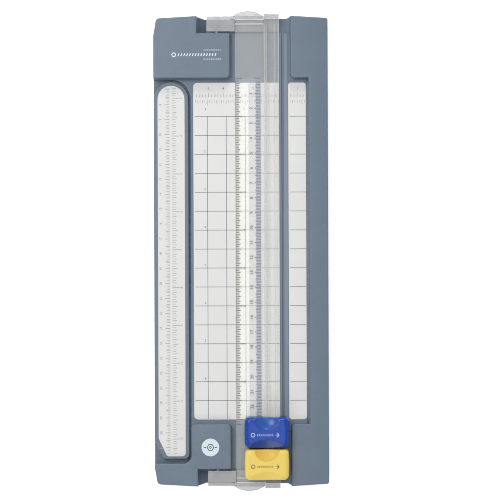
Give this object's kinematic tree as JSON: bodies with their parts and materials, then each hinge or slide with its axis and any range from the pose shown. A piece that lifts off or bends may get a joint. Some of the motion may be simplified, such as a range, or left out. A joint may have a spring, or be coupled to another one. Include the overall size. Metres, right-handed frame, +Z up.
{
  "type": "rotary paper trimmer",
  "caption": "Desktop paper trimmer: ruled base with swing-out ruler arm, clear hinged guide rail and sprung scoring and cutting wheel cassettes.",
  "frame": {"origin": "middle of the footprint, on the surface that the rubber feet stand on", "axes": "+X across the cut towards the cutting line, +Y along the cut away from the user, +Z up"},
  "size_m": [0.1168, 0.3216, 0.029],
  "materials": {
    "base_plastic": "satin moulded blue-grey plastic",
    "cover_plastic": "matt moulded plastic",
    "foot_rubber": "matt rubber",
    "screw_steel": "plain steel",
    "strip_plastic": "satin hard plastic",
    "printed_sheet": "white printed film",
    "badge": "pale blue lacquer",
    "clear_plastic": "clear moulded plastic",
    "scale_print": "clear film with printed marks",
    "arm_plastic": "satin moulded blue-grey plastic",
    "runner_nylon": "plain nylon",
    "spring_steel": "drawn spring wire",
    "score_blue": "gloss moulded plastic",
    "cut_yellow": "gloss moulded plastic",
    "wheel_steel": "ground hardened steel"
  },
  "bodies": {
    "base": {"base_shell": "base_plastic", "bottom_cover": "cover_plastic", "rubber_feet": "foot_rubber", "cover_screws": "screw_steel", "cutting_strip": "strip_plastic", "deck_label": "printed_sheet", "side_label": "printed_sheet", "emblem_disc": "badge"},
    "rail": {"clear_rail": "clear_plastic", "rail_scale": "scale_print", "hinge_pin_far": "screw_steel", "hinge_pin_near": "screw_steel"},
    "ruler_arm": {"swing_arm": "arm_plastic", "arm_label": "printed_sheet", "arm_washer": "screw_steel", "arm_screw": "screw_steel"},
    "score_carriage": {"score_runner": "runner_nylon", "score_springs": "spring_steel"},
    "score_press": {"score_cap": "score_blue", "score_axle": "screw_steel"},
    "score_disc": {"score_wheel": "wheel_steel"},
    "cut_carriage": {"cut_runner": "runner_nylon", "cut_springs": "spring_steel"},
    "cut_press": {"cut_cap": "cut_yellow", "cut_axle": "screw_steel"},
    "cut_disc": {"cut_wheel": "wheel_steel"}
  },
  "joints": [
    {"name": "rail_lift", "type": "hinge", "parent": "base", "child": "rail", "pos_m": [-0.016, 0, 0.014], "axis": [0, -1, 0], "range_deg": [0, 80]},
    {"name": "arm_swing", "type": "hinge", "parent": "base", "child": "ruler_arm", "pos_m": [-0.0467, 0.102, 0.0085], "axis": [0, 0, 1], "range_deg": [-90, 0]},
    {"name": "cut_slide", "type": "slide", "parent": "rail", "child": "cut_carriage", "axis": [0, 1, 0], "range_m": [0, 0.2638]},
    {"name": "cut_press_down", "type": "slide", "parent": "cut_carriage", "child": "cut_press", "axis": [0, 0, -1], "range_m": [0, 0.002], "stiffness_N_per_m": 1000, "springref_m": -0.002, "deforming": ["cut_springs"]},
    {"name": "cut_spin", "type": "hinge", "parent": "cut_press", "child": "cut_disc", "pos_m": [0.0281, -0.1422, 0.0202], "axis": [1, 0, 0], "continuous": true},
    {"name": "score_slide", "type": "slide", "parent": "rail", "child": "score_carriage", "axis": [0, 1, 0], "range_m": [0, 0.2638]},
    {"name": "score_press_down", "type": "slide", "parent": "score_carriage", "child": "score_press", "axis": [0, 0, -1], "range_m": [0, 0.002], "stiffness_N_per_m": 1000, "springref_m": -0.002, "deforming": ["score_springs"]},
    {"name": "score_spin", "type": "hinge", "parent": "score_press", "child": "score_disc", "pos_m": [0.0281, -0.1209, 0.0202], "axis": [1, 0, 0], "continuous": true}
  ],
  "couplings": [
    {"joint": "score_slide", "follows": "cut_slide", "ratio": 1}
  ]
}
